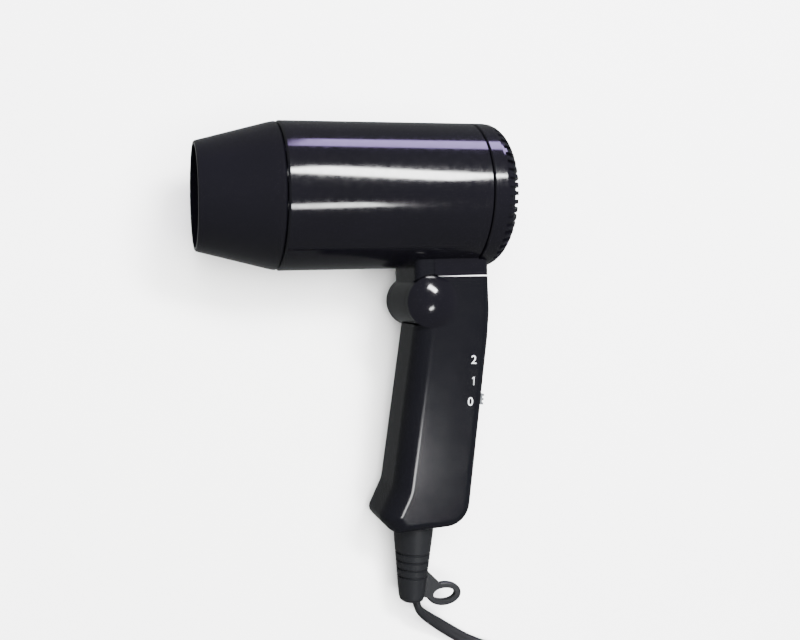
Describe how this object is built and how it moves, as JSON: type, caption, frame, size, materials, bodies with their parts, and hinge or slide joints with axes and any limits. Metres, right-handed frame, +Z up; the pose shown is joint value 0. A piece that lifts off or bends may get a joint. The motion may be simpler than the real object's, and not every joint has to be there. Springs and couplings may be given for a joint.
{
  "type": "folding travel hair dryer",
  "caption": "Compact folding hair dryer with a round barrel, tapered outlet nozzle, slotted intake, slide switch on a hinged handle, and a flat twin cord with plug.",
  "frame": {"origin": "middle of the dryer's footprint on the surface it lies on, without its cord", "axes": "+X along the barrel towards the intake, +Y from the handle's end to the barrel, +Z up from the surface, out of the dryer's left side"},
  "size_m": [0.193, 0.3144, 0.06],
  "materials": {
    "black_abs": "moulded ABS, glossy black",
    "grey_abs": "moulded ABS, dark grey",
    "nylon": "heat-proof moulded nylon",
    "steel": "zinc-plated steel",
    "pvc": "soft PVC, black",
    "brass": "stamped brass",
    "copper": "enamelled copper wire",
    "ferrite": "sintered ferrite",
    "mica": "mica sheet",
    "nichrome": "nichrome wire",
    "circuit": "phenolic board"
  },
  "bodies": {
    "head": {"barrel": "black_abs", "hinge_bracket": "black_abs", "bracket_screws": "steel", "nozzle": "black_abs", "outlet_grille": "nylon", "rear_cover": "black_abs", "dust_screen": "steel", "fan_duct": "nylon", "motor_can": "steel", "motor_end_cap": "circuit", "motor_bushes": "brass", "motor_magnets": "ferrite", "motor_brushes": "brass", "rectifier_board": "circuit", "rectifier_diodes": "circuit", "heater_frame": "mica", "heater_coils": "nichrome", "mica_liner": "mica", "thermostat": "brass", "thermal_fuse": "nichrome", "head_wires": "pvc", "hinge_pin": "steel", "detent_spring": "steel", "detent_plunger": "steel"},
    "fan": {"impeller": "nylon", "motor_armature": "steel", "armature_winding": "copper", "commutator": "brass", "motor_shaft": "steel"},
    "handle": {"handle_shell_left": "black_abs", "handle_shell_right": "black_abs", "hinge_cap_left": "black_abs", "hinge_cap_right": "black_abs", "handle_screws": "steel", "switch_body": "nylon", "switch_contacts": "brass", "capacitor": "circuit", "crimp_caps": "nylon", "cord_clamp": "nylon", "clamp_screws": "steel", "handle_wires": "pvc", "strain_relief": "pvc", "cord_lead": "pvc", "cord_tail": "pvc", "cord_coil": "pvc", "cord_tie": "pvc", "plug_body": "pvc", "plug_pins": "brass"},
    "slider": {"switch_slider": "grey_abs"}
  },
  "joints": [
    {"name": "handle_fold", "type": "hinge", "parent": "head", "child": "handle", "pos_m": [0.0303, 0.0273, 0.02497], "axis": [0, -0.1149, 0.9934], "range_deg": [-86, 0]},
    {"name": "fan_spin", "type": "hinge", "parent": "head", "child": "fan", "pos_m": [0.0295, 0.07081, 0.03], "axis": [1, 0, 0], "continuous": true},
    {"name": "switch_slide", "type": "slide", "parent": "handle", "child": "slider", "axis": [0.1302, 0.9849, 0.114], "range_m": [0, 0.0168]}
  ]
}
